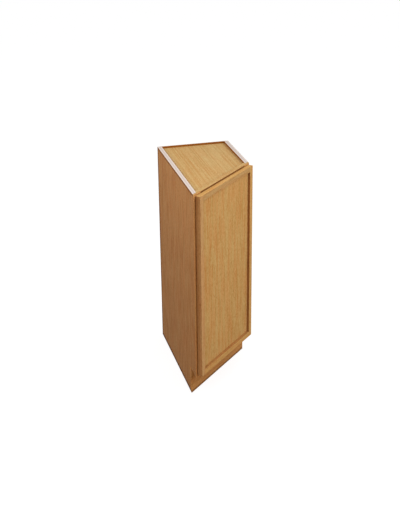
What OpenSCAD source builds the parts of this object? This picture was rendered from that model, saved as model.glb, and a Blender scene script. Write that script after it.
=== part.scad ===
// Kitchen end base cabinet with an angled front: a deep left side, a shallow right side,
// one overlay door hung on its right edge, and a toe kick. Millimetres, +Z up, front to -Y.

/* [Case] */
// Height from the floor to the rim that carries the worktop
case_h = 876.3; // [760:0.1:960]
// Width along the back
case_w = 304.8; // [280:0.1:420]
// Depth of the left side, which joins the next cabinet
left_d = 609.6; // [560:0.1:680]
// Depth of the right side, the open end of the run
right_d = 304.8; // [270:0.1:360]
// Thickness of the two plywood sides
side_t = 18; // [15:0.5:20]
// Thickness of the back panel
back_t = 4.8; // [3:0.1:9]
// Width of the step in each side's rear edge that takes the back panel
back_step = 9; // [5:0.5:12]
// Thickness of the top panel
top_t = 12.7; // [9:0.1:18]
// Drop from the rim to the top panel
top_drop = 8; // [3:0.1:20]
// Thickness of the bottom panel
bottom_t = 16; // [12:0.5:19]
// Depth of the grooves in the sides that hold the top and bottom panels
groove_d = 6; // [3:0.5:8]

/* [Rails and toe kick] */
// Thickness of the two nailing rails
nailer_t = 18; // [12:0.5:20]
// Height of the upper nailing rail
upper_nailer_h = 89; // [60:1:120]
// Height of the lower nailing rail
lower_nailer_h = 76; // [40:1:100]
// Height of the toe kick
toe_h = 114.3; // [90:0.1:130]
// Depth of the toe kick, measured along the sides
toe_d = 76.2; // [60:0.1:90]
// Thickness of the toe board
toe_board_t = 12.7; // [6:0.1:18]
// Thickness of the cleat that joins the toe board to the bottom panel
cleat_t = 18; // [12:0.5:20]
// Height of that cleat
cleat_h = 60; // [40:1:80]

/* [Face frame] */
// Thickness of the face frame
frame_t = 19.05; // [17:0.05:22]
// Width of the left stile on the front, wide because its outer edge is a sharp bevel
left_stile_w = 50.8; // [45:0.1:60]
// Width of the right stile on the front
right_stile_w = 38.1; // [34:0.1:50]
// Height of the top and bottom rails
rail_h = 38.1; // [32:0.1:50]
// Thickness of stile left in front of the side panels' ends
stile_lip = 9.525; // [7:0.005:12]
// Radius of the dowels in the frame's joints
dowel_r = 3; // [2:0.5:3.5]
// Depth of a dowel in a stile
dowel_in_stile = 10; // [6:1:11]
// Depth of a dowel in a rail
dowel_in_rail = 14; // [8:1:20]
// Spacing of the two dowels in a joint
dowel_gap = 18; // [12:1:22]

/* [Door] */
// Thickness of the door
door_t = 20; // [18:0.5:22]
// Gap between the door's back and the frame
door_gap = 2.8; // [2.6:0.1:4]
// Frame left bare at each side of the door
side_reveal = 10.5; // [9:0.5:12]
// Frame left bare above the door
top_reveal = 4.5; // [3:0.5:12]
// Frame left bare below the door
bottom_reveal = 4.5; // [3:0.5:12]
// Width of the door's stiles and rails
door_member_w = 22; // [20:0.5:30]
// Step from the door's face down to its panel
panel_step = 10; // [6:0.5:11]
// Thickness of the door panel
panel_t = 6; // [4:0.5:6.5]
// Depth of the grooves that hold the door panel
tongue_d = 6; // [4:0.5:7]
// Room for the panel to move in its grooves
panel_play = 0.5; // [0.2:0.1:1]
// Radius of the bumpers on the door's back
bumper_r = 4; // [3:0.5:5]
// Distance of a bumper from the door's top or bottom edge
bumper_inset = 40; // [20:1:60]

/* [Hinges] */
// Height of a hinge
hinge_h = 64; // [56:1:76]
// Thickness of a hinge leaf
leaf_t = 2; // [1.5:0.1:2.2]
// Reach of the frame leaf behind the door, from the door's edge
leaf_reach = 21; // [18:0.5:24]
// Width of the frame leaf's web, inside the door leaf
leaf_web = 5; // [3:0.5:6]
// Height of the door leaf
door_leaf_h = 30; // [28:1:34]
// Outer radius of the knuckles
knuckle_r = 2.9; // [2.6:0.1:3.2]
// Radius of the hinge pin
pin_r = 1.3; // [1:0.1:1.6]
// Radial clearance of the door leaf on the pin
pin_clear = 0.05; // [0.03:0.01:0.08]
// Clearance between the two leaves of a hinge
hinge_clear = 0.5; // [0.4:0.1:0.8]
// Clearance of the knuckles from the door's edge and the frame, and of the bumpers
swing_clear = 0.4; // [0.3:0.1:0.8]
// Distance of a hinge's middle from the door's top or bottom edge
hinge_inset = 90; // [60:1:160]
// Distance of the leaf screws from the door's edge
leaf_screw_in = 10; // [8:0.5:12]
// Spacing of the two screws in a door leaf
door_screw_gap = 14; // [12:1:16]

/* [Screws] */
// Radius of a screw's shank
shank_r = 1.6; // [1.2:0.1:2]
// Radius of a screw's head
head_r = 3; // [2.6:0.1:3.5]
// Height of a countersunk head
head_h = 1.4; // [1:0.1:1.5]
// Length of a screw in the wood
screw_in_wood = 11; // [8:0.5:12]

/* [Catch] */
// Width of the magnetic catch
catch_w = 46; // [40:1:60]
// Height of the catch
catch_h = 12; // [10:1:16]
// Depth of the catch behind the frame's face
catch_d = 19; // [15:1:24]
// Distance of the catch's middle from the left stile
catch_in = 50; // [35:1:90]
// Width of its magnet
magnet_w = 22; // [16:1:26]
// Thickness of the magnet, between its pole plates
magnet_t = 3; // [2:0.5:5]
// Depth of the magnet and its pole plates
magnet_d = 14; // [10:1:20]
// Thickness of a pole plate
pole_t = 1.5; // [1:0.1:2]
// Reach of the pole plates beyond the housing and the magnet
pole_proud = 1; // [0.5:0.1:2]
// Clearance between the pole plates and the strike
strike_clear = 0.4; // [0.3:0.1:1]
// Thickness of the strike plate
strike_t = 1.2; // [1:0.1:2]
// Width of the strike plate
strike_w = 38; // [30:1:44]
// Height of the strike plate
strike_h = 15; // [12:1:18]
// Spacing of the catch's two screws
catch_screw_gap = 34; // [30:1:38]
// Spacing of the strike's two screws
strike_screw_gap = 26; // [20:1:28]
// Length of the strike's screws in the door panel
strike_screw_in = 4.5; // [3:0.1:5]

/* [Shelf] */
// Thickness of the shelf
shelf_t = 16; // [12:0.5:19]
// Clearance at the shelf's ends
shelf_clear = 1; // [0.5:0.5:3]
// Set-back of the shelf from the face frame
shelf_back = 12; // [5:1:40]
// Radius of the shelf pin holes
peg_hole_r = 2.5; // [2:0.1:3]
// Depth of the shelf pin holes
peg_hole_d = 9; // [6:0.5:10]
// Clearance of a shelf pin in its hole
peg_clear = 0.1; // [0.05:0.01:0.2]
// Spacing of the holes up each side
peg_pitch = 32; // [25:1:50]
// Holes in each row
peg_count = 5; // [3:1:8]
// Height of the lowest hole
peg_first_z = 440; // [300:1:500]
// Hole that carries the shelf, counted from 0
peg_used = 2; // [0:1:2]
// Distance of the rear holes from the back
peg_rear_y = 64; // [40:1:90]
// Distance of the front holes behind the face frame
peg_front_y = 50; // [45:1:80]

/* [Hidden] */

// The front runs from the left corner to the right one at this angle
face_angle = atan2(left_d - right_d, case_w);
face_len = norm([case_w, left_d - right_d]);

// Plan position of the front, or of a plane the given distance behind it
function face_y(x, behind) = -left_d + x * tan(face_angle) + behind / cos(face_angle);

// Case levels
toe_behind = toe_d * cos(face_angle);
toe_back = toe_behind + toe_board_t;
floor_top = toe_h + rail_h;
floor_z = floor_top - bottom_t;
top_z = case_h - top_drop - top_t;
inner_right = case_w - side_t;

// Door, along the face and outwards from it
door_left = side_reveal;
door_right = face_len - side_reveal;
door_z = toe_h + bottom_reveal;
door_h = case_h - top_reveal - door_z;
door_front = door_gap + door_t;
groove_front = door_front - panel_step;
panel_back = groove_front - panel_t;
strike_face = panel_back - strike_t;

// Hinge axis, along the face and outwards from it
axis_s = door_right + knuckle_r + swing_clear;
axis_out = knuckle_r + swing_clear;
hinge_zs = [door_z + hinge_inset, door_z + door_h - hinge_inset];
frame_screw_z = (hinge_h + door_leaf_h) / 4;

// Shelf
shelf_z = peg_first_z + peg_used * peg_pitch + peg_hole_r;
peg_tab_l = 9;
peg_tab_w = 10;
peg_tab_t = 2;
peg_plate_h = 14;
peg_plate_t = 1.6;
left_peg_y = [-peg_rear_y, face_y(side_t, frame_t) + peg_front_y];
right_peg_y = [-peg_rear_y, face_y(inner_right, frame_t) + peg_front_y];

// The origin is under the middle of the whole object's box
corner_x = door_right * cos(face_angle) + door_front * sin(face_angle);
corner_y = -left_d + door_left * sin(face_angle) - door_front * cos(face_angle);
mid_x = max(case_w, corner_x) / 2;
mid_y = min(-left_d, corner_y) / 2;

// Catch and strike
catch_s = left_stile_w + catch_in;
catch_z = case_h - rail_h - catch_h;
catch_mid_z = catch_z + catch_h / 2;
pole_front = strike_face - strike_clear;
catch_front = pole_front - pole_proud;

// Cutting shapes run past a face by this much
skin = 0.5;
round_fn = 48;

veneer = [0.73, 0.56, 0.36];
raw_ply = [0.83, 0.74, 0.62];
steel = [0.72, 0.73, 0.75];
plastic = [0.9, 0.89, 0.86];
rubber_pad = [0.8, 0.8, 0.78];

// From the case's rear left corner to the part's own origin
module in_case() {
    translate([-mid_x, -mid_y, 0]) children();
}

// X runs along the front from its left corner, Y runs inwards
module on_face() {
    in_case() translate([0, -left_d, 0]) rotate([0, 0, face_angle]) children();
}

// A level panel from the back to a plane behind the front
module panel_plan(x0, x1, rear, behind) {
    polygon([[x0, -rear], [x1, -rear], [x1, face_y(x1, behind)], [x0, face_y(x0, behind)]]);
}

// A strip parallel to the front between two plan positions
module face_strip(x0, x1, behind0, behind1) {
    polygon([
        [x0, face_y(x0, behind0)], [x1, face_y(x1, behind0)],
        [x1, face_y(x1, behind1)], [x0, face_y(x0, behind1)]
    ]);
}

module top_shape() {
    translate([0, 0, top_z]) linear_extrude(top_t)
        panel_plan(side_t - groove_d, inner_right + groove_d, back_t, frame_t);
}

module bottom_shape() {
    translate([0, 0, floor_z]) linear_extrude(bottom_t)
        panel_plan(side_t - groove_d, inner_right + groove_d, back_t, frame_t);
}

module back_shape() {
    translate([back_step, -back_t, 0]) cube([case_w - 2 * back_step, back_t, case_h]);
}

// Rows of shelf pin holes, opening towards +X
module peg_holes(ys) {
    for (y = ys)
        for (i = [0 : peg_count - 1])
            translate([-peg_hole_d, y, peg_first_z + i * peg_pitch])
                rotate([0, 90, 0]) cylinder(r = peg_hole_r, h = peg_hole_d + skin, $fn = round_fn);
}

// A side between two plan positions, with its toe notch, grooves and rear step
module side_blank(x0, x1) {
    difference() {
        linear_extrude(case_h) panel_plan(x0, x1, 0, stile_lip);
        translate([0, 0, -skin]) linear_extrude(toe_h + skin)
            face_strip(x0 - skin, x1 + skin, 0, toe_back);
        top_shape();
        bottom_shape();
        back_shape();
    }
}

module left_side() {
    color(veneer) in_case() difference() {
        side_blank(0, side_t);
        translate([side_t, 0, 0]) peg_holes(left_peg_y);
    }
}

module right_side() {
    color(veneer) in_case() difference() {
        side_blank(inner_right, case_w);
        translate([inner_right, 0, 0]) mirror([1, 0, 0]) peg_holes(right_peg_y);
    }
}

module back_panel() {
    color(raw_ply) in_case() back_shape();
}

module top_panel() {
    color(veneer) in_case() top_shape();
}

module bottom_panel() {
    color(raw_ply) in_case() bottom_shape();
}

// A rail across the back, inside the case
module nailer(z, h) {
    translate([side_t, -back_t - nailer_t, z]) cube([case_w - 2 * side_t, nailer_t, h]);
}

module upper_nailer() {
    color(raw_ply) in_case() nailer(top_z - upper_nailer_h, upper_nailer_h);
}

module lower_nailer() {
    color(raw_ply) in_case() nailer(floor_z - lower_nailer_h, lower_nailer_h);
}

module toe_board() {
    color(veneer) in_case() linear_extrude(toe_h) face_strip(0, case_w, toe_behind, toe_back);
}

module toe_cleat() {
    color(raw_ply) in_case() translate([0, 0, floor_z - cleat_h]) linear_extrude(cleat_h)
        face_strip(side_t, inner_right, toe_back, toe_back + cleat_t);
}

// Two dowels across each joint of the face frame
module dowel_set() {
    for (z = [toe_h + rail_h / 2, case_h - rail_h / 2]) {
        for (dz = [-dowel_gap / 2, dowel_gap / 2]) {
            translate([left_stile_w - dowel_in_stile, frame_t / 2, z + dz]) rotate([0, 90, 0])
                cylinder(r = dowel_r, h = dowel_in_stile + dowel_in_rail, $fn = round_fn);
            translate([face_len - right_stile_w - dowel_in_rail, frame_t / 2, z + dz])
                rotate([0, 90, 0])
                    cylinder(r = dowel_r, h = dowel_in_stile + dowel_in_rail, $fn = round_fn);
        }
    }
}

// The frame's plan between two places along the face, less the steps for the sides' ends
module stile_plan(s0, s1) {
    difference() {
        intersection() {
            face_strip(0, case_w, 0, frame_t);
            translate([0, -left_d]) rotate(face_angle)
                translate([s0, -skin]) square([s1 - s0, frame_t + 2 * skin]);
        }
        face_strip(-skin, side_t, stile_lip, frame_t + skin);
        face_strip(inner_right, case_w + skin, stile_lip, frame_t + skin);
    }
}

// A frame stile: its outer edge is flush with a side, whose end sits in the step behind
module stile(s0, s1) {
    in_case() translate([0, 0, toe_h]) linear_extrude(case_h - toe_h) stile_plan(s0, s1);
}

module left_stile() {
    color(veneer) difference() {
        stile(-skin, left_stile_w);
        on_face() dowel_set();
    }
}

module right_stile() {
    color(veneer) difference() {
        stile(face_len - right_stile_w, face_len + right_stile_w);
        on_face() dowel_set();
        on_face() leaf_screws_frame();
    }
}

module frame_rail(z) {
    translate([left_stile_w, 0, z])
        cube([face_len - left_stile_w - right_stile_w, frame_t, rail_h]);
}

module top_rail() {
    color(veneer) on_face() difference() {
        frame_rail(case_h - rail_h);
        dowel_set();
        catch_screw_set();
    }
}

module bottom_rail() {
    color(veneer) on_face() difference() {
        frame_rail(toe_h);
        dowel_set();
    }
}

module frame_dowels() {
    color(raw_ply) on_face() dowel_set();
}

module shelf() {
    color(raw_ply) in_case() translate([0, 0, shelf_z]) linear_extrude(shelf_t)
        panel_plan(side_t + shelf_clear, inner_right - shelf_clear,
            back_t + shelf_clear, frame_t + shelf_back);
}

// A pin in a left-hand hole, with its plate against the side and its tab under the shelf
module shelf_pin() {
    rotate([0, -90, 0]) cylinder(r = peg_hole_r - peg_clear, h = peg_hole_d - skin, $fn = round_fn);
    translate([0, -peg_tab_w / 2, peg_hole_r - peg_plate_h])
        cube([peg_plate_t, peg_tab_w, peg_plate_h]);
    translate([0, -peg_tab_w / 2, peg_hole_r - peg_tab_t]) cube([peg_tab_l, peg_tab_w, peg_tab_t]);
}

module shelf_pins() {
    color(steel) in_case() translate([0, 0, peg_first_z + peg_used * peg_pitch]) {
        for (y = left_peg_y) translate([side_t, y, 0]) shelf_pin();
        for (y = right_peg_y) translate([inner_right, y, 0]) mirror([1, 0, 0]) shelf_pin();
    }
}

// A box on the door, by its place along the face, outwards and up
module door_box(s0, s1, out0, out1, z0, z1) {
    translate([s0, -out1, z0]) cube([s1 - s0, out1 - out0, z1 - z0]);
}

// The ring that the panel and the rails' tongues fill inside the door's frame
module panel_groove(play) {
    door_box(
        door_left + door_member_w - tongue_d + play, door_right - door_member_w + tongue_d - play,
        panel_back, groove_front,
        door_z + door_member_w - tongue_d + play, door_z + door_h - door_member_w + tongue_d - play
    );
}

// The groove along a stile, open at both ends
module stile_groove() {
    door_box(
        door_left + door_member_w - tongue_d, door_right - door_member_w + tongue_d,
        panel_back, groove_front, door_z - skin, door_z + door_h + skin
    );
}

module door_left_stile() {
    color(veneer) on_face() difference() {
        door_box(door_left, door_left + door_member_w, door_gap, door_front, door_z, door_z + door_h);
        stile_groove();
    }
}

module door_right_stile() {
    color(veneer) on_face() difference() {
        door_box(door_right - door_member_w, door_right, door_gap, door_front,
            door_z, door_z + door_h);
        stile_groove();
        leaf_screws_door();
    }
}

// A rail between the stiles, with a tongue at each end in their grooves
module door_rail(z) {
    difference() {
        union() {
            door_box(door_left + door_member_w, door_right - door_member_w, door_gap, door_front,
                z, z + door_member_w);
            door_box(door_left + door_member_w - tongue_d, door_right - door_member_w + tongue_d,
                panel_back, groove_front, z, z + door_member_w);
        }
        panel_groove(0);
    }
}

module door_top_rail() {
    color(veneer) on_face() door_rail(door_z + door_h - door_member_w);
}

module door_bottom_rail() {
    color(veneer) on_face() door_rail(door_z);
}

module door_panel() {
    color(veneer) on_face() difference() {
        panel_groove(panel_play);
        strike_screw_set();
    }
}

module door_bumpers() {
    color(rubber_pad) on_face()
        for (z = [door_z + bumper_inset, door_z + door_h - bumper_inset])
            translate([door_left + door_member_w / 2, -door_gap, z]) rotate([-90, 0, 0])
                cylinder(r = bumper_r, h = door_gap - swing_clear, $fn = round_fn);
}

// A countersunk screw of the given length with its head's face at z = 0, driven towards -Z
module screw(length) {
    translate([0, 0, -head_h]) cylinder(r1 = shank_r, r2 = head_r, h = head_h, $fn = round_fn);
    translate([0, 0, -length]) cylinder(r = shank_r, h = length, $fn = round_fn);
}

// Screws through the frame leaf into the right stile, driven inwards
module leaf_screws_frame() {
    for (z = hinge_zs)
        for (dz = [-frame_screw_z, frame_screw_z])
            translate([door_right - leaf_screw_in, -leaf_t, z + dz])
                rotate([90, 0, 0]) screw(leaf_t + screw_in_wood);
}

// Screws through the door leaf into the door's stile, driven outwards
module leaf_screws_door() {
    for (z = hinge_zs)
        for (dz = [-door_screw_gap / 2, door_screw_gap / 2])
            translate([door_right - leaf_screw_in, leaf_t - door_gap, z + dz])
                rotate([-90, 0, 0]) screw(leaf_t + screw_in_wood);
}

module knuckle(z0, z1) {
    translate([axis_s, -axis_out, z0]) cylinder(r = knuckle_r, h = z1 - z0, $fn = round_fn);
}

module pin_bore(z, r) {
    translate([axis_s, -axis_out, z - hinge_h]) cylinder(r = r, h = 2 * hinge_h, $fn = round_fn);
}

// The leaf on the frame wraps round the door's leaf and carries the two outer knuckles
module frame_leaf(z) {
    inner = door_right - leaf_reach;
    difference() {
        union() {
            translate([inner, -leaf_t, z - hinge_h / 2]) cube([axis_s - inner, leaf_t, hinge_h]);
            knuckle(z - hinge_h / 2, z + hinge_h / 2);
        }
        translate([inner + leaf_web, -axis_out - knuckle_r - skin, z - door_leaf_h / 2])
            cube([leaf_reach + 2 * knuckle_r, axis_out + knuckle_r + 2 * skin, door_leaf_h]);
        pin_bore(z, pin_r);
    }
}

// The leaf on the door lies inside the other and carries the middle knuckle
module door_leaf(z) {
    inner = door_right - leaf_reach + leaf_web + hinge_clear;
    h = door_leaf_h - 2 * hinge_clear;
    difference() {
        union() {
            translate([inner, -door_gap, z - h / 2]) cube([axis_s - inner, leaf_t, h]);
            knuckle(z - h / 2, z + h / 2);
        }
        pin_bore(z, pin_r + pin_clear);
    }
}

module hinge_frame_leaves() {
    color(steel) on_face() difference() {
        for (z = hinge_zs) frame_leaf(z);
        leaf_screws_frame();
    }
}

module hinge_door_leaves() {
    color(steel) on_face() difference() {
        for (z = hinge_zs) door_leaf(z);
        leaf_screws_door();
    }
}

module hinge_pins() {
    color(steel) on_face() for (z = hinge_zs)
        translate([axis_s, -axis_out, z - hinge_h / 2])
            cylinder(r = pin_r, h = hinge_h, $fn = round_fn);
}

module hinge_frame_screws() {
    color(steel) on_face() leaf_screws_frame();
}

module hinge_door_screws() {
    color(steel) on_face() leaf_screws_door();
}

// The catch hangs under the top rail and reaches out to the strike on the door panel
module catch_screw_set() {
    for (ds = [-catch_screw_gap / 2, catch_screw_gap / 2])
        translate([catch_s + ds, catch_d / 2, catch_z])
            rotate([180, 0, 0]) screw(catch_h + screw_in_wood);
}

// A block at the middle of the catch, reaching back from the given distance outwards
module catch_block(out, deep, high) {
    translate([catch_s - magnet_w / 2, -out, catch_mid_z - high / 2]) cube([magnet_w, deep, high]);
}

module catch_housing() {
    color(plastic) on_face() difference() {
        translate([catch_s - catch_w / 2, -catch_front, catch_z])
            cube([catch_w, catch_front + catch_d, catch_h]);
        catch_block(catch_front + skin, magnet_d - pole_proud + skin, magnet_t + 2 * pole_t);
        catch_screw_set();
    }
}

module catch_magnet() {
    color("dimgray") on_face() catch_block(catch_front, magnet_d - pole_proud, magnet_t);
}

module catch_poles() {
    color(steel) on_face() difference() {
        catch_block(pole_front, magnet_d, magnet_t + 2 * pole_t);
        catch_block(pole_front + skin, magnet_d + 2 * skin, magnet_t);
    }
}

module catch_screws() {
    color(steel) on_face() catch_screw_set();
}

module strike_screw_set() {
    for (ds = [-strike_screw_gap / 2, strike_screw_gap / 2])
        translate([catch_s + ds, -strike_face, catch_mid_z])
            rotate([-90, 0, 0]) screw(strike_t + strike_screw_in);
}

module strike_plate() {
    color(steel) on_face() difference() {
        translate([catch_s - strike_w / 2, -panel_back, catch_mid_z - strike_h / 2])
            cube([strike_w, strike_t, strike_h]);
        strike_screw_set();
    }
}

module strike_screws() {
    color(steel) on_face() strike_screw_set();
}

left_side();
right_side();
back_panel();
top_panel();
bottom_panel();
upper_nailer();
lower_nailer();
toe_board();
toe_cleat();
left_stile();
right_stile();
top_rail();
bottom_rail();
frame_dowels();
shelf();
shelf_pins();
door_left_stile();
door_right_stile();
door_top_rail();
door_bottom_rail();
door_panel();
door_bumpers();
hinge_frame_leaves();
hinge_door_leaves();
hinge_pins();
hinge_frame_screws();
hinge_door_screws();
catch_housing();
catch_magnet();
catch_poles();
catch_screws();
strike_plate();
strike_screws();
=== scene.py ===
import math
from collections import namedtuple

import bmesh
import bpy
from mathutils import Matrix, Vector


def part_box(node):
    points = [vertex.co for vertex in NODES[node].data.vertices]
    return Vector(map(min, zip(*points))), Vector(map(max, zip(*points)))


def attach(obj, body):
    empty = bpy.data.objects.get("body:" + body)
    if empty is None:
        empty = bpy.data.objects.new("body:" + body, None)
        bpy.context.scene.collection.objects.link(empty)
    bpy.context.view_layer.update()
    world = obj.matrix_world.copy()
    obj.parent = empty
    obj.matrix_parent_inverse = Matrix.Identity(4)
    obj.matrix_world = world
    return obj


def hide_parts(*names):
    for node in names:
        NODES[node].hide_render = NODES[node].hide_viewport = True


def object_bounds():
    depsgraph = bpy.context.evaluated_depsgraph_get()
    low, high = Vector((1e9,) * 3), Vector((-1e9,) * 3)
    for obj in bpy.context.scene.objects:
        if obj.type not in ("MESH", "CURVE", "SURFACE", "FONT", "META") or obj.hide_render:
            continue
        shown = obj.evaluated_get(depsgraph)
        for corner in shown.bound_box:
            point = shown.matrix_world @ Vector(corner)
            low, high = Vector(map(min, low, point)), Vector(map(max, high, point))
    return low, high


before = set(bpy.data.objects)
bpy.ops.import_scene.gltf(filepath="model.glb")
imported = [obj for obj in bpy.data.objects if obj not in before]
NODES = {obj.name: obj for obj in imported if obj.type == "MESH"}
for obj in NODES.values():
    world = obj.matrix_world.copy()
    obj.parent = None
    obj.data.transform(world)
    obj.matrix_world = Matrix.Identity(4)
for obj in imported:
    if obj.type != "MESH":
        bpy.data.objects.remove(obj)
cad_low, cad_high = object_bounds()

# The front stands at this angle to the back
FACE_TURN = math.radians(45)

# Softened edges, in metres
BOARD_EDGE = 0.0006
DOOR_RIM = 0.0008
DOOR_INNER_EDGE = 0.0005
METAL_EDGE = 0.00025
HOUSING_EDGE = 0.0008
BUMPER_DOME = 0.0016

# Edges that are softened are at least this sharp, and on boards and metal at least this long
SHARP = math.radians(30)
SHORTEST_BOARD_EDGE = 0.009
SHORTEST_METAL_EDGE = 0.0015

# How much of a face's normal points a way when the face looks that way, and when squarely so
TOWARDS = 0.5
SQUARELY = 0.9

# Spots this close together are one spot, and levels this close are one level
SAME_SPOT = 0.00001
SAME_LEVEL = 0.00005

# Screws, in metres, with the tip's width as a share of the shank's
SHANK_RADIUS = 0.0016
HEAD_DEPTH = 0.0014
POINT_LENGTH = 0.003
TIP_SHARE = 0.15
SCREW_FACETS = 32

# The cross recess in a screw's head, and how much narrower its foot is
RECESS_SPAN = 0.0034
RECESS_WIDTH = 0.0008
RECESS_DEPTH = 0.0010
RECESS_FOOT = (0.3, 0.5, 1)

# The photograph's camera: its frame in pixels, its sensor in millimetres, its place in metres
PHOTO_HEIGHT = 532
PHOTO_CENTRE_X = 200
LENS_PIXELS = 1059.9
VIEW_POINT_X = 210.0
SENSOR = 36
CAMERA_PLACE = (-1.0336, -3.8277, 2.2176)
CAMERA_AZIMUTH = math.radians(-14.88)
CAMERA_ELEVATION = math.radians(24.06)
CAMERA_ROLL = math.radians(-0.4425)

# The room and its floor, which sends warm light up and looks white itself
WHITE = (1, 1, 1, 1)
WORLD_LEVEL = 0.57
FLOOR_SPAN = 60
FLOOR_GAP = 0.0002
FLOOR_SEEN = (0.35, 0.35, 0.35, 1)
FLOOR_BOUNCE = (0.30, 0.21, 0.135, 1)
FLOOR_GLOW = 0.80

# Lamps, turned to one point: place and width in metres, and watts
LIT_POINT = Vector((0, 0, 0.5))
KEY_LIGHT = ((1.6, -1.33, 2.1), 1.4, 34)
LEFT_FILL = ((-0.85, -1.05, 1.6), 0.5, 2.5)
SIDE_LIGHT = ((-1.0, 0.05, 1.35), 0.5, 5)


def screen(red, green, blue):
    """A screen colour, written from 0 to 255, as linear light."""
    def linear(value):
        share = value / 255
        return share / 12.92 if share <= 0.04045 else ((share + 0.055) / 1.055) ** 2.4
    return (linear(red), linear(green), linear(blue), 1.0)


# Wood tones: the light wood, the streaks and the pores of each
Tones = namedtuple("Tones", "light streak pore")
HONEY = Tones(screen(211, 172, 111), screen(191, 136, 73), screen(160, 100, 45))
TOP_HONEY = Tones(screen(208, 174, 118), screen(188, 140, 80), screen(159, 103, 48))
HONEY_PALE = Tones(screen(210, 167, 114), screen(190, 136, 82), screen(158, 100, 54))
HONEY_DULL = Tones(screen(200, 161, 108), screen(181, 132, 77), screen(152, 101, 55))
SIDE_TAN = Tones(screen(185, 137, 88), screen(165, 111, 65), screen(111, 64, 26))
RUSSET = Tones(screen(210, 155, 95), screen(190, 127, 69), screen(139, 78, 31))
EDGE_BROWN = Tones(screen(207, 154, 100), screen(184, 126, 73), screen(137, 85, 43))
# A darker tone that paints the shade on the lower rail's ledge at the door's panel
LEDGE_SHADE = Tones(screen(186, 136, 83), screen(166, 111, 60), screen(126, 76, 36))
HONEY_WARM = Tones(screen(213, 170, 106), screen(194, 139, 75), screen(159, 99, 48))
# A darker red that paints the shade of the reveal above the door
FRAME_SHADE_RED = Tones(screen(188, 132, 78), screen(166, 108, 56), screen(128, 76, 36))
# A dark brown that paints shade: on the faces above the sunk top panel, along the floor and above
# the door
SHADE_BROWN = Tones(screen(154, 95, 33), screen(130, 75, 22), screen(96, 51, 15))
# A darker tone that paints the shade on the door's recess walls around its panel
RECESS_SHADE = Tones(screen(177, 124, 76), screen(153, 99, 56), screen(114, 68, 36))
MAPLE = Tones(screen(226, 196, 154), screen(208, 172, 124), screen(176, 134, 92))

# Hue of the grain's yellower and redder ribbons, as shares of its colour
YELLOWER = (0.985, 1.04, 1.05, 1)
REDDER = (1.02, 0.94, 0.91, 1)

# The levels of each pattern between which it comes out in the grain
STREAKS_SHOW = (0.40, 0.66)
RINGS_SHOW = (0.1, 1.0)
BLUSH_SHOWS = (0.40, 0.60)
PORES_SHOW = (0.56, 0.70)

# How far each part of the grain pushes a spot from the light wood towards the streaks
STREAK_REST = 0.18
RIBBON_PUSH = 0.25
LINE_PUSH = 0.2
TONE_PUSH = 0.3

# The arched figure: its sideways wander, the steepness of its arches, the closeness of its rings
ARCH_WANDER = 0.045
ARCH_STEEPNESS = 70.0
RING_CLOSENESS = 150.0

# Dull lacquer
LACQUER_ROUGHNESS = 0.62
LACQUER_UNEVENNESS = 0.25
LACQUER_SPECULAR = 0.02

# Plywood's cut edge, with distances from its middle as shares of its thickness
PLY_LAYER = screen(225, 209, 198)
PLY_CROSS_LAYER = screen(205, 191, 184)
CROSS_LAYER_ENDS = (0.15, 0.18)
FACE_VENEER_STARTS = (0.462, 0.472)
LAYER_WAVE = 0.02

# A darkening fades out over this part of its width
DARKENING_FADE = (0.4, 1.0)

# Darkenings reach further along these edges, because their distances are counted at these shares;
# at a side's foot and beside the door's left stile this is painted shade
FOOT_SHARE = 0.6
REAR_SHARE = 0.5
STILE_SHARE = 0.2

# The front's own directions: X along it, Y inwards, Z up, from its left corner
front_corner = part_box("left_stile")[0]
FACE = Matrix.Translation((front_corner.x, front_corner.y, 0)) @ Matrix.Rotation(FACE_TURN, 4, "Z")
TO_FACE = FACE.inverted()
ALONG_FACE = FACE.to_3x3() @ Vector((1, 0, 0))
FACE_OUTWARD = FACE.to_3x3() @ Vector((0, -1, 0))
UP = Vector((0, 0, 1))
ACROSS = Vector((1, 0, 0))
BACKWARD = Vector((0, 1, 0))


def corners(points):
    """Lowest and highest corner of the box around some points."""
    low = Vector([min(p[i] for p in points) for i in range(3)])
    high = Vector([max(p[i] for p in points) for i in range(3)])
    return low, high


def span(node):
    """Lowest and highest corner of a CAD node in the front's own directions."""
    return corners([TO_FACE @ v.co for v in NODES[node].data.vertices])


def solids(node):
    """Lowest and highest corner of each solid of a node, from the floor up."""
    shape = bmesh.new()
    shape.from_mesh(NODES[node].data)
    bmesh.ops.remove_doubles(shape, verts=shape.verts, dist=SAME_SPOT)
    waiting = set(shape.verts)
    boxes = []
    while waiting:
        solid = [waiting.pop()]
        for vert in solid:
            for edge in vert.link_edges:
                other = edge.other_vert(vert)
                if other in waiting:
                    waiting.remove(other)
                    solid.append(other)
        boxes.append(corners([TO_FACE @ v.co for v in solid]))
    shape.free()
    return sorted(boxes, key=lambda box: (round(box[0].z, 4), box[0].x))


# Modelling

def select_none():
    bpy.ops.object.select_all(action="DESELECT")


def make_active(piece):
    select_none()
    piece.select_set(True)
    bpy.context.view_layer.objects.active = piece


def settle(piece):
    """Applies the object's place, turn and scale to its mesh."""
    make_active(piece)
    bpy.ops.object.transform_apply(location=True, rotation=True, scale=True)
    return piece


def block(name, low, high):
    """A block between two corners, to be shaped or to cut with."""
    low, high = Vector(low), Vector(high)
    select_none()
    bpy.ops.mesh.primitive_cube_add(size=1, location=(low + high) / 2)
    piece = bpy.context.object
    piece.name = name
    piece.scale = high - low
    return settle(piece)


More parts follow.
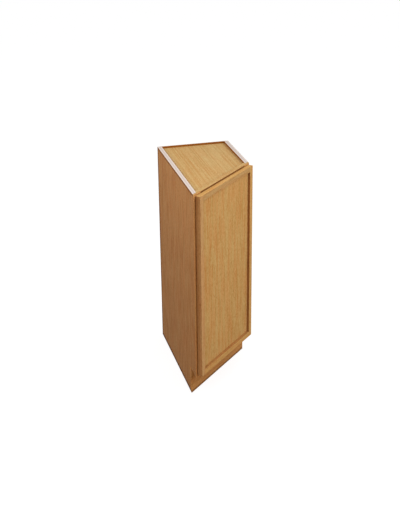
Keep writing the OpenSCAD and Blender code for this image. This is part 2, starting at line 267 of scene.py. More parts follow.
def edit_selected(piece, kind, wanted):
    """Goes into edit mode with only the wanted edges or faces selected, and counts them."""
    make_active(piece)
    bpy.ops.object.mode_set(mode="EDIT")
    bpy.ops.mesh.select_mode(type=kind)
    bpy.ops.mesh.select_all(action="DESELECT")
    shape = bmesh.from_edit_mesh(piece.data)
    shape.normal_update()
    parts = shape.edges if kind == "EDGE" else shape.faces
    found = [part for part in parts if wanted(part)]
    for part in found:
        part.select = True
    bmesh.update_edit_mesh(piece.data)
    return len(found)


def leave_edit():
    bpy.ops.object.mode_set(mode="OBJECT")


def is_sharp(edge):
    return len(edge.link_faces) == 2 and edge.calc_face_angle(0) > SHARP


def is_corner(edge):
    """True on a sharp edge of a board, and not on the rim of a hole."""
    return is_sharp(edge) and edge.calc_length() > SHORTEST_BOARD_EDGE


def soften(piece, width, wanted=is_corner, segments=2):
    """Rounds the wanted edges of a piece."""
    if edit_selected(piece, "EDGE", wanted):
        bpy.ops.mesh.bevel(offset=width, segments=segments, affect="EDGES", clamp_overlap=False)
    leave_edit()
    return piece


def carve(piece, cutter):
    """Cuts one shape out of another and takes the cutter away."""
    make_active(piece)
    tool = piece.modifiers.new("cut", "BOOLEAN")
    tool.operation = "DIFFERENCE"
    tool.solver = "EXACT"
    tool.object = cutter
    bpy.ops.object.modifier_apply(modifier=tool.name)
    bpy.data.objects.remove(cutter)
    return piece


def cut_level(piece, height):
    """Splits a board's faces along a level line."""
    edit_selected(piece, "FACE", lambda face: True)
    bpy.ops.mesh.bisect(plane_co=(0, 0, height), plane_no=(0, 0, 1))
    leave_edit()
    return piece


def copy_of(node_or_piece, name):
    """A copy with its own mesh."""
    twin = bpy.data.objects.new(name, node_or_piece.data.copy())
    bpy.context.scene.collection.objects.link(twin)
    return twin


def merged_copy(node, name):
    """A copy of a CAD node with its triangles joined into whole flat faces."""
    twin = copy_of(NODES[node], name)
    make_active(twin)
    bpy.ops.mesh.customdata_custom_splitnormals_clear()
    bpy.ops.object.mode_set(mode="EDIT")
    bpy.ops.mesh.select_all(action="SELECT")
    bpy.ops.mesh.remove_doubles(threshold=SAME_SPOT)
    bpy.ops.mesh.mark_sharp(clear=True)
    bpy.ops.mesh.dissolve_limited(angle_limit=math.radians(1))
    leave_edit()
    bpy.ops.object.shade_flat()
    twin.data.materials.clear()
    return twin


def smooth(piece, angle=35):
    """Shades a piece smoothly except across sharper edges."""
    make_active(piece)
    bpy.ops.object.shade_smooth_by_angle(angle=math.radians(angle))
    return piece


def finish_piece(piece, body, slot, node, *materials):
    """Gives a piece its materials, hangs it on what it rides on, and hides the CAD node it stands
    for.
    """
    for material in materials:
        piece.data.materials.append(material)
    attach(piece, body)
    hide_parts(node)
    return piece


def paint(piece, material, wanted):
    """Gives faces another of the piece's materials, picked by their normal and middle."""
    index = list(piece.data.materials).index(material)
    for face in piece.data.polygons:
        if wanted(face.normal, face.center):
            face.material_index = index


# Shader helpers

def add(tree, kind, sockets=None, **settings):
    """Adds a node, with its settings, and its sockets set or linked."""
    node = tree.nodes.new(kind)
    for key, value in settings.items():
        setattr(node, key, value)
    for key, value in (sockets or {}).items():
        connect(tree, node.inputs[key], value)
    return node


def connect(tree, socket, value):
    """Links a socket to another, or sets it to a plain value."""
    if isinstance(value, bpy.types.NodeSocket):
        tree.links.new(value, socket)
    else:
        socket.default_value = value


def maths(tree, operation, first, second=0.0, clamp=False):
    return add(tree, "ShaderNodeMath", {0: first, 1: second},
               operation=operation, use_clamp=clamp).outputs[0]


def stretch(tree, vector, along_grain):
    """Draws a pattern out along the grain, which runs in Z."""
    scale = add(tree, "ShaderNodeCombineXYZ", {0: 1.0, 1: 1.0, 2: along_grain}).outputs[0]
    return add(tree, "ShaderNodeVectorMath", {0: vector, 1: scale},
               operation="MULTIPLY").outputs[0]


def noise(tree, vector, scale, detail=2.0, roughness=0.5):
    return add(tree, "ShaderNodeTexNoise",
               {"Vector": vector, "Scale": scale, "Detail": detail, "Roughness": roughness}
               ).outputs["Fac"]


def between(tree, value, low, high, to_low=0.0, to_high=1.0):
    """Maps a value from one range to another, smoothly and without going past it."""
    return add(tree, "ShaderNodeMapRange",
               {"Value": value, "From Min": low, "From Max": high, "To Min": to_low,
                "To Max": to_high}, interpolation_type="SMOOTHSTEP").outputs[0]


def swing(tree, value, amount):
    """A value from 0 to 1 turned into a push of either sign."""
    return maths(tree, "MULTIPLY", maths(tree, "SUBTRACT", value, 0.5), amount)


# The Mix node's sockets for colours, by number, because its other sockets share their names
MIX_SHARE, MIX_FIRST, MIX_SECOND, MIX_RESULT = 0, 6, 7, 2


def mix_colour(tree, share, first, second, blend="MIX"):
    return add(tree, "ShaderNodeMix",
               {MIX_SHARE: share, MIX_FIRST: first, MIX_SECOND: second},
               data_type="RGBA", blend_type=blend).outputs[MIX_RESULT]


def shade_colour(tree, colour, value, low, high):
    """Makes a colour darker and lighter with a value that runs about 0.3 to 0.7."""
    level = between(tree, value, 0.3, 0.7, low, high)
    grey = add(tree, "ShaderNodeCombineColor", {0: level, 1: level, 2: level}).outputs[0]
    return mix_colour(tree, 1.0, colour, grey, "MULTIPLY")


def new_group(name, inputs, outputs):
    """A node group with named sockets: its tree, its inputs by name and its output node."""
    tree = bpy.data.node_groups.new(name, "ShaderNodeTree")
    for label, kind, value in inputs:
        socket = tree.interface.new_socket(label, in_out="INPUT", socket_type=kind)
        if value is not None:
            socket.default_value = value
    for label, kind in outputs:
        tree.interface.new_socket(label, in_out="OUTPUT", socket_type=kind)
    return tree, tree.nodes.new("NodeGroupInput").outputs, tree.nodes.new("NodeGroupOutput").inputs


def wood_grain_group():
    """Grain along Z: broad tone, streaks, fine lines, pores and a soft arched figure."""
    tree, given, result = new_group(
        "wood_grain",
        [("Vector", "NodeSocketVector", None),
         ("Light", "NodeSocketColor", (0.6, 0.4, 0.2, 1)),
         ("Streak", "NodeSocketColor", (0.5, 0.3, 0.1, 1)),
         ("Pore", "NodeSocketColor", (0.3, 0.15, 0.05, 1)),
         ("Streaks", "NodeSocketFloat", 0.5),
         ("Streak Length", "NodeSocketFloat", 0.07),
         ("Figure", "NodeSocketFloat", 0.0),
         ("Pores", "NodeSocketFloat", 0.4),
         ("Dashes", "NodeSocketFloat", 1.7),
         ("Dash Length", "NodeSocketFloat", 0.4),
         ("Blush", "NodeSocketFloat", 1.0)],
        [("Color", "NodeSocketColor"), ("Roughness", "NodeSocketFloat"),
         ("Height", "NodeSocketFloat")])
    place = given["Vector"]

    def drawn_out(along_grain, scale, detail, roughness=0.5):
        return noise(tree, stretch(tree, place, along_grain), scale, detail, roughness)

    tone = drawn_out(0.10, scale=14, detail=2)
    streaks = drawn_out(given["Streak Length"], scale=120, detail=3, roughness=0.6)
    ribbons = drawn_out(given["Streak Length"], scale=300, detail=2, roughness=0.6)
    dashes = drawn_out(given["Dash Length"], scale=230, detail=3, roughness=0.85)
    lines = drawn_out(0.03, scale=700, detail=2, roughness=0.6)
    flecks = drawn_out(0.12, scale=560, detail=1)
    blush = drawn_out(0.10, scale=76, detail=1)
    wander = drawn_out(0.35, scale=11, detail=2)

    # Arches: level lines of the height plus a steep parabola across the board
    axes = add(tree, "ShaderNodeSeparateXYZ", {0: place}).outputs
    across = maths(tree, "ADD", axes["X"], swing(tree, wander, ARCH_WANDER))
    arch = maths(tree, "POWER", maths(tree, "ABSOLUTE", across), 2)
    arch = maths(tree, "ADD", axes["Z"], maths(tree, "MULTIPLY", arch, ARCH_STEEPNESS))
    rings = maths(tree, "SINE", maths(tree, "MULTIPLY", arch, RING_CLOSENESS))
    rings = between(tree, rings, *RINGS_SHOW)

    share = maths(tree, "MULTIPLY", between(tree, streaks, *STREAKS_SHOW), given["Streaks"])
    for push in (swing(tree, ribbons, RIBBON_PUSH), swing(tree, dashes, given["Dashes"]),
                 swing(tree, lines, LINE_PUSH), swing(tree, tone, TONE_PUSH), STREAK_REST):
        share = maths(tree, "ADD", share, push)
    share = maths(tree, "ADD", share, maths(tree, "MULTIPLY", rings, given["Figure"]), clamp=True)
    colour = mix_colour(tree, share, given["Light"], given["Streak"])
    tint = mix_colour(tree, between(tree, blush, *BLUSH_SHOWS), YELLOWER, REDDER)
    colour = mix_colour(tree, given["Blush"], colour, tint, "MULTIPLY")
    pores = maths(tree, "MULTIPLY", between(tree, flecks, *PORES_SHOW), given["Pores"])
    colour = mix_colour(tree, pores, colour, given["Pore"])

    tree.links.new(colour, result["Color"])
    roughness = maths(tree, "ADD", LACQUER_ROUGHNESS, swing(tree, ribbons, LACQUER_UNEVENNESS))
    tree.links.new(roughness, result["Roughness"])
    tree.links.new(maths(tree, "SUBTRACT", maths(tree, "MULTIPLY", lines, 0.5), pores),
                   result["Height"])
    return tree


def ply_layers_group():
    """Plywood's cut edge, where Through runs from 0 to 1 across the board's layers."""
    tree, given, result = new_group(
        "ply_layers",
        [("Vector", "NodeSocketVector", None),
         ("Through", "NodeSocketFloat", 0.5),
         ("Face", "NodeSocketColor", (0.4, 0.2, 0.08, 1)),
         ("Layer", "NodeSocketColor", (0.8, 0.7, 0.6, 1)),
         ("Cross Layer", "NodeSocketColor", (0.6, 0.5, 0.45, 1))],
        [("Color", "NodeSocketColor"), ("Height", "NodeSocketFloat")])
    fibres = noise(tree, given["Vector"], scale=650, detail=3)
    wave = noise(tree, given["Vector"], scale=45, detail=1)
    from_middle = maths(tree, "SUBTRACT", given["Through"], 0.5)
    waved = maths(tree, "ABSOLUTE", maths(tree, "ADD", from_middle, swing(tree, wave, LAYER_WAVE)))
    cross = between(tree, waved, *CROSS_LAYER_ENDS, to_low=1, to_high=0)
    colour = mix_colour(tree, cross, given["Layer"], given["Cross Layer"])
    colour = shade_colour(tree, colour, fibres, 0.93, 1.04)
    face = between(tree, maths(tree, "ABSOLUTE", from_middle), *FACE_VENEER_STARTS)
    colour = mix_colour(tree, face, colour, given["Face"])
    tree.links.new(colour, result["Color"])
    tree.links.new(fibres, result["Height"])
    return tree


def edge_darkening_group():
    """Darkens a colour towards a darker one close to a board's edge: painted shade, and on the
    sides also a darker upper and rear edge.
    """
    tree, given, result = new_group(
        "edge_darkening",
        [("Vector", "NodeSocketVector", None),
         ("Color", "NodeSocketColor", (0.6, 0.4, 0.2, 1)),
         ("Darkening", "NodeSocketColor", (0.3, 0.15, 0.05, 1)),
         ("Distance", "NodeSocketFloat", 1.0),
         ("Width", "NodeSocketFloat", 0.006),
         ("Amount", "NodeSocketFloat", 0.5)],
        [("Color", "NodeSocketColor")])
    uneven = noise(tree, given["Vector"], scale=90, detail=2)
    width = maths(tree, "MULTIPLY", given["Width"], maths(tree, "ADD", uneven, 0.5))
    share = maths(tree, "DIVIDE", given["Distance"], width)
    share = between(tree, share, *DARKENING_FADE, to_low=1, to_high=0)
    share = maths(tree, "MULTIPLY", share, given["Amount"])
    tree.links.new(mix_colour(tree, share, given["Color"], given["Darkening"]), result["Color"])
    return tree


def brushed_metal_group():
    """Fine brushing along Z, with duller smudges."""
    tree, given, result = new_group(
        "brushed_metal",
        [("Vector", "NodeSocketVector", None),
         ("Base", "NodeSocketColor", (0.6, 0.6, 0.6, 1)),
         ("Roughness", "NodeSocketFloat", 0.3)],
        [("Color", "NodeSocketColor"), ("Roughness", "NodeSocketFloat"),
         ("Height", "NodeSocketFloat")])
    brushing = noise(tree, stretch(tree, given["Vector"], 0.05), scale=3000, detail=2)
    smudges = noise(tree, given["Vector"], scale=120, detail=3)
    tree.links.new(maths(tree, "ADD", given["Roughness"], swing(tree, smudges, 0.3)),
                   result["Roughness"])
    tree.links.new(shade_colour(tree, given["Base"], brushing, 0.88, 1.05), result["Color"])
    tree.links.new(brushing, result["Height"])
    return tree


WOOD_GRAIN = wood_grain_group()
PLY_LAYERS = ply_layers_group()
EDGE_DARKENING = edge_darkening_group()
BRUSHED_METAL = brushed_metal_group()


def new_material(name):
    """An empty material: its tree, its Principled shader and the piece's own coordinates."""
    material = bpy.data.materials.new(name)
    material.use_nodes = True
    tree = material.node_tree
    place = tree.nodes.new("ShaderNodeTexCoord").outputs["Object"]
    return material, tree, tree.nodes["Principled BSDF"], place


def bump(tree, shader, height, strength, distance):
    made = add(tree, "ShaderNodeBump",
               {"Height": height, "Strength": strength, "Distance": distance})
    tree.links.new(made.outputs["Normal"], shader.inputs["Normal"])


def use_group(tree, group, sockets):
    """Places a node group with its own values in a tree, and hands back what it puts out."""
    return add(tree, "ShaderNodeGroup", sockets, node_tree=group).outputs


# A darkening along an edge, mostly painted shade: a function that puts the distance to that edge
# in a tree, the darker colour, how far it reaches in metres and how strong it is
Darkening = namedtuple("Darkening", "distance colour width amount")


def wood(name, tones, grain, outward, shift=(0, 0, 0), streaks=0.5, figure=0.0, pores=0.4,
         streak_length=0.07, dashes=1.7, dash_length=0.4, blush=0.6, darkenings=()):
    """A lacquered wood with its grain in one direction and its face towards another.

    The shift moves the pattern, so that no two boards show the same piece of it.
    """
    material, tree, shader, place = new_material(name)
    turn = Matrix((outward.cross(grain), outward, grain)).to_euler()
    mapping = add(tree, "ShaderNodeMapping",
                  {"Vector": place, "Rotation": turn, "Location": shift})
    grown = use_group(tree, WOOD_GRAIN, {
        "Vector": mapping.outputs[0], "Light": tones.light, "Streak": tones.streak,
        "Pore": tones.pore, "Streaks": streaks, "Streak Length": streak_length,
        "Figure": figure, "Pores": pores, "Dashes": dashes, "Dash Length": dash_length,
        "Blush": blush})
    colour = grown["Color"]
    for darkening in darkenings:
        colour = use_group(tree, EDGE_DARKENING, {
            "Vector": place, "Color": colour, "Darkening": darkening.colour,
            "Distance": darkening.distance(tree, place), "Width": darkening.width,
            "Amount": darkening.amount})["Color"]
    tree.links.new(colour, shader.inputs["Base Color"])
    tree.links.new(grown["Roughness"], shader.inputs["Roughness"])
    shader.inputs["Specular IOR Level"].default_value = LACQUER_SPECULAR
    bump(tree, shader, grown["Height"], strength=0.3, distance=0.0003)
    return material


def ply_edge(name, low, thickness, face):
    """Plywood's cut edge on a side, whose layers lie one behind another in X."""
    material, tree, shader, place = new_material(name)
    across = add(tree, "ShaderNodeSeparateXYZ", {0: place}).outputs["X"]
    through = maths(tree, "DIVIDE", maths(tree, "SUBTRACT", across, low), thickness)
    layers = use_group(tree, PLY_LAYERS, {
        "Vector": place, "Through": through, "Face": face, "Layer": PLY_LAYER,
        "Cross Layer": PLY_CROSS_LAYER})
    tree.links.new(layers["Color"], shader.inputs["Base Color"])
    shader.inputs["Roughness"].default_value = 0.8
    shader.inputs["Specular IOR Level"].default_value = 0.1
    bump(tree, shader, layers["Height"], strength=0.2, distance=0.0003)
    return material


def metal(name, base, roughness):
    """Brushed or plated metal."""
    material, tree, shader, place = new_material(name)
    brushed = use_group(tree, BRUSHED_METAL, {
        "Vector": place, "Base": base, "Roughness": roughness})
    tree.links.new(brushed["Color"], shader.inputs["Base Color"])
    tree.links.new(brushed["Roughness"], shader.inputs["Roughness"])
    shader.inputs["Metallic"].default_value = 1.0
    bump(tree, shader, brushed["Height"], strength=0.1, distance=0.0001)
    return material


def moulded(name, base, roughness, grit=0.15):
    """Moulded plastic, ferrite or rubber with a fine texture."""
    material, tree, shader, place = new_material(name)
    texture = noise(tree, place, scale=1800, detail=2)
    tree.links.new(shade_colour(tree, base, texture, 0.92, 1.04), shader.inputs["Base Color"])
    shader.inputs["Roughness"].default_value = roughness
    bump(tree, shader, texture, strength=grit, distance=0.0002)
    return material


# Places that the finishes and the door's shape go by

left_low, left_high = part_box("left_side")
right_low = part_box("right_side")[0]
side_thickness = left_high.x - left_low.x
rim_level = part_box("top_panel")[1].z

DOOR_MEMBERS = ("door_left_stile", "door_right_stile", "door_top_rail", "door_bottom_rail")
door_low, door_high = corners([corner for node in DOOR_MEMBERS for corner in span(node)])
opening_low = Vector((span("door_left_stile")[1].x, 0, span("door_bottom_rail")[1].z))
opening_high = Vector((span("door_right_stile")[0].x, 0, span("door_top_rail")[0].z))


def beyond(tree, place, corner, direction):
    """How far each spot lies beyond a corner, in one direction."""
    way = add(tree, "ShaderNodeVectorMath", {0: place, 1: corner},
              operation="SUBTRACT").outputs[0]
    return add(tree, "ShaderNodeVectorMath", {0: way, 1: direction},
               operation="DOT_PRODUCT").outputs["Value"]


def side_edge(tree, place):
    """Distance to a side's upper edge, and a share of that to its lower and rear edges."""
    above = maths(tree, "MULTIPLY", beyond(tree, place, left_low, UP), FOOT_SHARE)
    below = beyond(tree, place, left_high, -UP)
    before = maths(tree, "MULTIPLY", beyond(tree, place, left_high, -BACKWARD), REAR_SHARE)
    return maths(tree, "MINIMUM", maths(tree, "MINIMUM", above, below), before)


def floor_edge(tree, place):
    """Distance to the edge on the floor."""
    return beyond(tree, place, cad_low, UP)


def frame_edge(tree, place):
    """Distance to the upper edge of the face frame."""
    return beyond(tree, place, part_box("top_rail")[1], -UP)


def panel_border(tree, place):
    """Distance to the door's lower rail, and a share of that to its left stile."""
    corner = FACE @ opening_low
    aside = maths(tree, "MULTIPLY", beyond(tree, place, corner, ALONG_FACE), STILE_SHARE)
    return maths(tree, "MINIMUM", beyond(tree, place, corner, UP), aside)


def door_back(tree, place):
    """Distance to the door's back."""
    return beyond(tree, place, FACE @ door_high, FACE_OUTWARD)


# Finishes of the case

# The side darkens along its upper and rear edges, and along its foot a painted shade with a
# painted contact shadow at the floor
side_veneer = wood("side_veneer", SIDE_TAN, UP, -ACROSS, streaks=0.8, blush=0.75,
                   darkenings=[Darkening(side_edge, SIDE_TAN.pore, width=0.011, amount=0.75),
                           Darkening(floor_edge, SHADE_BROWN.pore, width=0.016, amount=0.75)])
left_ply = ply_edge("left_ply", left_low.x, side_thickness, SIDE_TAN.pore)
right_ply = ply_edge("right_ply", right_low.x, side_thickness, SIDE_TAN.pore)
# Painted shade on the inner faces above the sunk top panel
rim_shade = wood("rim_shade", SHADE_BROWN, ACROSS, -BACKWARD)
top_veneer = wood("top_veneer", TOP_HONEY, BACKWARD, UP, shift=(0.4, 0, 0.1), streaks=0.55,
                  streak_length=0.015, dashes=1.9, dash_length=0.5, blush=0.4)
# The toe board carries a painted contact shadow along the floor
toe_wood = wood("toe_wood", RUSSET, ALONG_FACE, FACE_OUTWARD, shift=(0, 0, 0.2), streaks=0.7,
                darkenings=[Darkening(floor_edge, SHADE_BROWN.pore, width=0.013, amount=0.6)])
inside_upright = wood("inside_upright", MAPLE, UP, ACROSS, streaks=0.35, pores=0.2, blush=0.3)
inside_depth = wood("inside_depth", MAPLE, BACKWARD, UP, shift=(0.2, 0, 0), streaks=0.35,
                    pores=0.2, blush=0.3)
inside_across = wood("inside_across", MAPLE, ACROSS, -BACKWARD, streaks=0.35, pores=0.2,
                     blush=0.3)
back_veneer = wood("back_veneer", SIDE_TAN, UP, BACKWARD, shift=(0.6, 0, 0.3), streaks=0.4,
                   pores=0.3)

# Finishes of the face frame

# The face frame's stiles in the redder, darker russet: the frame's own tone, darkened as painted
# shade for the reveal beside the door
shaded_frame_upright = wood("shaded_frame_upright", RUSSET, UP, FACE_OUTWARD, shift=(0.30, 0, 0.20))
# The face frame's rails in a darker red, with a darker band along the top rail's upper edge:
# painted shade for the reveal above the door
shaded_frame_level = wood("shaded_frame_level", FRAME_SHADE_RED, ALONG_FACE, FACE_OUTWARD, shift=(0.10, 0, 0.40),
                   darkenings=[Darkening(frame_edge, SHADE_BROWN.pore, width=0.020, amount=0.6)])
frame_top = wood("frame_top", TOP_HONEY, ALONG_FACE, UP, shift=(0.50, 0, 0.10), pores=0.5)
frame_side = wood("frame_side", SIDE_TAN, UP, -ACROSS, shift=(0.20, 0, 0.30))
dowel_beech = wood("dowel_beech", MAPLE, ALONG_FACE, UP, streaks=0.2, pores=0.3)

# Finishes of the door

door_upright = wood("door_upright", HONEY_PALE, UP, FACE_OUTWARD, shift=(0.55, 0, 0.35),
                    streaks=0.4)
door_level = wood("door_level", HONEY_DULL, ALONG_FACE, FACE_OUTWARD, shift=(0.75, 0, 0.15))
door_warm_upright = wood("door_warm_upright", HONEY_WARM, UP, FACE_OUTWARD,
                         shift=(0.65, 0, 0.30))
door_warm_level = wood("door_warm_level", HONEY_WARM, ALONG_FACE, FACE_OUTWARD,
                       shift=(0.85, 0, 0.25))
# The door's sides take a browner wood, and towards the back a painted shade beside the gap to the
# frame
door_edge = wood("door_edge", EDGE_BROWN, UP, -ALONG_FACE, shift=(0.15, 0, 0.60),
                 darkenings=[Darkening(door_back, EDGE_BROWN.pore, width=0.012, amount=0.15)])
# Painted shade on the ledge and the walls of the recess around the door's panel
door_ledge_shade = wood("door_ledge_shade", LEDGE_SHADE, ALONG_FACE, UP, shift=(0.35, 0, 0.45))
door_recess_shade = wood("door_recess_shade", RECESS_SHADE, UP, -ALONG_FACE, shift=(0.25, 0, 0.80))
# The panel darkens along its lower and left border as painted shade, where it sinks below the rail
# and the stile
door_veneer = wood("door_veneer", HONEY, UP, FACE_OUTWARD, shift=(-0.215, 0, -0.13),
                   streaks=0.45, figure=0.15, pores=0.5, dashes=2.1, dash_length=0.45, blush=0.9,
                   darkenings=[Darkening(panel_border, HONEY.pore, width=0.0045, amount=0.75)])

# Finishes of the hardware

nickel = metal("nickel", base=(0.66, 0.64, 0.60, 1), roughness=0.28)
bright_zinc = metal("bright_zinc", base=(0.62, 0.62, 0.63, 1), roughness=0.24)
catch_plastic = moulded("catch_plastic", screen(238, 235, 226), roughness=0.45)
ferrite = moulded("ferrite", screen(62, 60, 60), roughness=0.75, grit=0.4)
clear_rubber = moulded("clear_rubber", screen(225, 225, 220), roughness=0.35)


# Case

def side(node, outward, ply):
    """A plywood side: veneer outside, maple inside, painted shade above the top panel, and bare
    edges.
    """
    sheet = soften(cut_level(merged_copy(node, node + "_board"), rim_level), BOARD_EDGE)
    finish_piece(sheet, "cabinet", "case_wood", node, side_veneer, ply, inside_upright, rim_shade)
    paint(sheet, ply, lambda normal, middle: abs(normal.x) < TOWARDS)
    paint(sheet, inside_upright, lambda normal, middle: normal.x * outward < -TOWARDS)
    # The inner face above the top panel is painted dark as shade
    paint(sheet, rim_shade,
          lambda normal, middle: normal.x * outward < -TOWARDS and middle.z > rim_level)


def back():
    """The back panel: veneer outside, maple inside, painted shade above the top panel."""
    sheet = soften(cut_level(merged_copy("back_panel", "back_board"), rim_level), BOARD_EDGE)
    finish_piece(sheet, "cabinet", "inside_ply", "back_panel", back_veneer, inside_upright,
                 rim_shade)
    paint(sheet, inside_upright, lambda normal, middle: normal.y < -TOWARDS)
    # The inner face above the top panel is painted dark as shade
    paint(sheet, rim_shade, lambda normal, middle: normal.y < -TOWARDS and middle.z > rim_level)


def board(node, slot, material):
    """A board or panel of the case in one finish."""
    piece = soften(merged_copy(node, node + "_board"), BOARD_EDGE)
    return finish_piece(piece, "cabinet", slot, node, material)


def frame_member(node, material):
    """A member of the face frame, paler on its upper edge and like the sides at its ends."""
    member = soften(merged_copy(node, node + "_board"), BOARD_EDGE)
    finish_piece(member, "cabinet", "frame_wood", node, material, frame_top, frame_side)
    paint(member, frame_top, lambda normal, middle: normal.z > TOWARDS)
    paint(member, frame_side, lambda normal, middle: abs(normal.x) > SQUARELY)


side("left_side", outward=-1, ply=left_ply)
side("right_side", outward=1, ply=right_ply)
back()
board("top_panel", "top_wood", top_veneer)
board("bottom_panel", "inside_ply", inside_depth)
board("upper_nailer", "inside_ply", inside_across)
board("lower_nailer", "inside_ply", inside_across)
board("toe_cleat", "inside_ply", inside_across)
board("toe_board", "case_wood", toe_wood)
board("shelf", "inside_ply", inside_depth)
frame_member("left_stile", shaded_frame_upright)
frame_member("right_stile", shaded_frame_upright)
frame_member("top_rail", shaded_frame_level)
frame_member("bottom_rail", shaded_frame_level)


# Door

def close_to(value, *levels):
    """True where a value is at one of some levels."""
    return any(abs(value - level) < SAME_LEVEL for level in levels)


def edge_ends(edge):
    """Both ends of an edge in the front's own directions."""
    return [TO_FACE @ vert.co for vert in edge.verts]


def on_rim(edge):
    """True on the door's outer edges, and not where a rail meets a stile."""
    if not is_sharp(edge):
        return False
    start, end = edge_ends(edge)
    upright_side = all(close_to(p.x, door_low.x, door_high.x) for p in (start, end))
    level_side = all(close_to(p.z, door_low.z, door_high.z) for p in (start, end))
    return upright_side or (level_side and not close_to(start.x, end.x))


def on_inner_edge(edge):
    """True on the front edges around the panel."""
    if not is_corner(edge):
        return False
    start, end = edge_ends(edge)
    if not (close_to(start.y, door_low.y) and close_to(end.y, door_low.y)):
        return False
    upright = all(close_to(p.x, opening_low.x, opening_high.x) for p in (start, end))
    level = all(close_to(p.z, opening_low.z, opening_high.z) for p in (start, end))
    return upright or level


def door_member(node, material):
    """A member of the door's frame, its sides darker than its face and its edges at the panel
    painted darker as the recess's shade.
    """
    member = merged_copy(node, node + "_member")
    soften(member, DOOR_INNER_EDGE, on_inner_edge)
    soften(member, DOOR_RIM, on_rim, segments=3)
    finish_piece(member, "door", "door_wood", node, material, door_edge, door_recess_shade, door_ledge_shade,
                 door_warm_level)
    middle_of_opening = (opening_low + opening_high) / 2

    def sideways(normal, middle):
        return abs(normal.dot(ALONG_FACE)) > SQUARELY

    def at_panel(normal, middle):
        inward = middle_of_opening - TO_FACE @ middle
        inward.y = 0
        on_edge = abs(normal.dot(FACE_OUTWARD)) < TOWARDS
        return on_edge and (TO_FACE.to_3x3() @ normal).dot(inward) > 0

    paint(member, door_edge, sideways)
    # Faces towards the panel, and the ledge above the lower rail, take the painted shade of the
    # recess
    paint(member, door_recess_shade, at_panel)
    paint(member, door_ledge_shade,
          lambda normal, middle: at_panel(normal, middle) and normal.z > TOWARDS)
    paint(member, door_warm_level, lambda normal, middle: close_to(middle.z, door_high.z))


door_member("door_left_stile", door_upright)
door_member("door_right_stile", door_warm_upright)
door_member("door_top_rail", door_level)
door_member("door_bottom_rail", door_warm_level)
finish_piece(merged_copy("door_panel", "door_panel_board"), "door", "door_wood", "door_panel",
             door_veneer)


# Hardware

def recess_blade(turn):
    """One arm of a screw's cross recess, narrower at its foot."""
    blade = block("recess_blade", (-RECESS_SPAN / 2, -RECESS_WIDTH / 2, -RECESS_DEPTH),
                  (RECESS_SPAN / 2, RECESS_WIDTH / 2, RECESS_DEPTH))
    edit_selected(blade, "FACE", lambda face: face.normal.z < -SQUARELY)
    bpy.ops.transform.resize(value=RECESS_FOOT, center_override=(0, 0, -RECESS_DEPTH))
    leave_edit()
    blade.rotation_euler.z = turn
    return settle(blade)


def screw_pattern(length, head_radius):
    """A countersunk cross-head screw with its head's face at the origin, driven down."""
    select_none()
    bpy.ops.mesh.primitive_cylinder_add(vertices=SCREW_FACETS, radius=head_radius,
                                        depth=HEAD_DEPTH, location=(0, 0, -HEAD_DEPTH / 2))
    screw = settle(bpy.context.object)
    narrowing = SHANK_RADIUS / head_radius
    edit_selected(screw, "FACE", lambda face: face.normal.z < -SQUARELY)
    bpy.ops.transform.resize(value=(narrowing, narrowing, 1), center_override=(0, 0, -HEAD_DEPTH))
    straight = length - HEAD_DEPTH - POINT_LENGTH
    bpy.ops.mesh.extrude_region_move(TRANSFORM_OT_translate={"value": (0, 0, -straight)})
    bpy.ops.mesh.extrude_region_move(TRANSFORM_OT_translate={"value": (0, 0, -POINT_LENGTH)})
    bpy.ops.transform.resize(value=(TIP_SHARE, TIP_SHARE, 1), center_override=(0, 0, -length))
    leave_edit()
    carve(screw, recess_blade(0))
    carve(screw, recess_blade(math.pi / 2))
    return smooth(screw)


def screws(node, body, drive):
    """A screw for each solid of the node, driven along a direction of the front's own."""
    drive = Vector(drive)
    boxes = solids(node)
    size = boxes[0][1] - boxes[0][0]
    length = abs(size.dot(drive))
    head_radius = min(size.x, max(size.y, size.z)) / 2
    pattern = screw_pattern(length, head_radius)
    turn = Vector((0, 0, -1)).rotation_difference(drive).to_matrix().to_4x4()
    for number, (low, high) in enumerate(boxes, 1):
        head = (low + high) / 2 - drive * length / 2
        piece = copy_of(pattern, f"{node[:-1]}_{number}")
        piece.matrix_world = FACE @ Matrix.Translation(head) @ turn
        settle(piece)
        finish_piece(piece, body, "screw_steel", node, bright_zinc)
    bpy.data.objects.remove(pattern)


def metal_part(node, body):
    """A nickelled piece of hardware with its sharp edges broken."""
    piece = merged_copy(node, node + "_part")
    soften(piece, METAL_EDGE,
           lambda edge: is_sharp(edge) and edge.calc_length() > SHORTEST_METAL_EDGE, segments=1)
    finish_piece(smooth(piece), body, "hinge_steel", node, nickel)


metal_part("hinge_frame_leaves", "cabinet")
metal_part("hinge_door_leaves", "door")
metal_part("shelf_pins", "cabinet")
metal_part("strike_plate", "door")
metal_part("catch_poles", "cabinet")
screws("hinge_frame_screws", "cabinet", (0, 1, 0))
screws("hinge_door_screws", "door", (0, -1, 0))
screws("catch_screws", "cabinet", (0, 0, 1))
screws("strike_screws", "door", (0, -1, 0))


def pins():
    """The pins of both hinges, rounded at their ends."""
    piece = merged_copy("hinge_pins", "hinge_pin_pair")
    soften(piece, METAL_EDGE, is_sharp)
    finish_piece(smooth(piece), "cabinet", "hinge_steel", "hinge_pins", nickel)


def catch():
    """The magnetic catch's housing and its bar magnet."""
    housing = merged_copy("catch_housing", "catch_body")
    soften(housing, HOUSING_EDGE, segments=3)
    finish_piece(smooth(housing), "cabinet", "catch_plastic", "catch_housing", catch_plastic)
    bar = soften(merged_copy("catch_magnet", "catch_magnet_bar"), METAL_EDGE)
    finish_piece(bar, "cabinet", "magnet", "catch_magnet", ferrite)


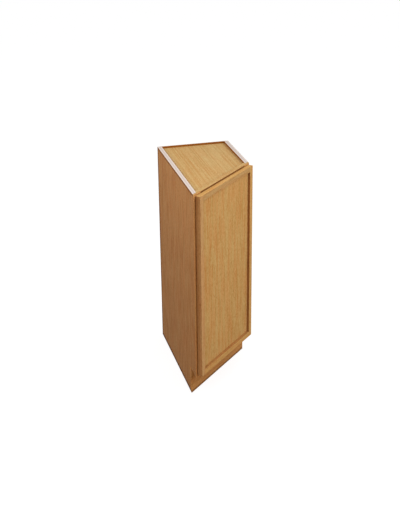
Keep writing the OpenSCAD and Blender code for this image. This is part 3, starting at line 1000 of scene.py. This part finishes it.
def bumpers():
    """Clear rubber buttons, domed towards the frame."""
    face = span("door_bumpers")[1].y
    piece = merged_copy("door_bumpers", "door_bumper_pair")
    soften(piece, BUMPER_DOME,
           lambda edge: is_sharp(edge) and all(close_to(p.y, face) for p in edge_ends(edge)),
           segments=4)
    finish_piece(smooth(piece, angle=50), "door", "bumper", "door_bumpers", clear_rubber)


pins()
catch()
bumpers()

# The dowels are hidden, so they stay as they were built
NODES["frame_dowels"].data.materials.clear()
NODES["frame_dowels"].data.materials.append(dowel_beech)


# Floor, light and camera

def seen_directly(tree):
    """1 for rays that show the background: straight, in a reflection, or through glass."""
    rays = tree.nodes.new("ShaderNodeLightPath").outputs
    seen = maths(tree, "MAXIMUM", rays["Is Camera Ray"], rays["Is Glossy Ray"])
    return maths(tree, "MAXIMUM", seen, rays["Is Transmission Ray"])


def studio_floor():
    """A pale floor that looks white itself, keeps the shadow and sends warm light up."""
    bpy.ops.mesh.primitive_plane_add(size=FLOOR_SPAN, location=(0, 0, cad_low.z - FLOOR_GAP))
    floor = bpy.context.object
    floor.name = "studio_floor"
    material, tree, shader = new_material("studio_floor")[:3]
    seen = seen_directly(tree)
    tree.links.new(mix_colour(tree, seen, FLOOR_BOUNCE, FLOOR_SEEN), shader.inputs["Base Color"])
    shader.inputs["Emission Color"].default_value = WHITE
    tree.links.new(maths(tree, "MULTIPLY", seen, FLOOR_GLOW), shader.inputs["Emission Strength"])
    shader.inputs["Roughness"].default_value = 1.0
    shader.inputs["Specular IOR Level"].default_value = 0.0
    floor.data.materials.append(material)


def studio_world():
    """An even room, white where it is seen."""
    world = bpy.data.worlds.new("studio")
    bpy.context.scene.world = world
    world.use_nodes = True
    tree = world.node_tree
    background = tree.nodes["Background"]
    background.inputs["Color"].default_value = WHITE
    tree.links.new(between(tree, seen_directly(tree), 0, 1, WORLD_LEVEL, 1),
                   background.inputs["Strength"])


def softbox(name, place, width, watts):
    """A square lamp turned to the lit point."""
    light = bpy.data.lights.new(name, "AREA")
    light.shape = "SQUARE"
    light.size = width
    light.energy = watts
    lamp = bpy.data.objects.new(name, light)
    bpy.context.scene.collection.objects.link(lamp)
    lamp.location = place
    lamp.rotation_euler = (LIT_POINT - Vector(place)).to_track_quat("-Z", "Y").to_euler()


def photo_camera():
    """The camera at the photograph's place, with its principal point off the frame's middle."""
    data = bpy.data.cameras.new("camera")
    camera = bpy.data.objects.new("camera", data)
    bpy.context.scene.collection.objects.link(camera)
    data.sensor_width = SENSOR
    data.lens = LENS_PIXELS / PHOTO_HEIGHT * SENSOR
    data.shift_x = (PHOTO_CENTRE_X - VIEW_POINT_X) / PHOTO_HEIGHT
    turn, lift = CAMERA_AZIMUTH, CAMERA_ELEVATION
    backwards = Vector((math.sin(turn) * math.cos(lift), -math.cos(turn) * math.cos(lift),
                        math.sin(lift)))
    rightwards = Vector((math.cos(turn), math.sin(turn), 0))
    level = Matrix((rightwards, backwards.cross(rightwards), backwards)).transposed()
    camera.location = CAMERA_PLACE
    camera.rotation_euler = (level @ Matrix.Rotation(CAMERA_ROLL, 3, "Z")).to_euler()
    bpy.context.scene.camera = camera


studio_floor()
studio_world()
softbox("key_light", *KEY_LIGHT)
softbox("left_fill", *LEFT_FILL)
softbox("side_light", *SIDE_LIGHT)
photo_camera()
bpy.context.scene.view_settings.view_transform = "Standard"
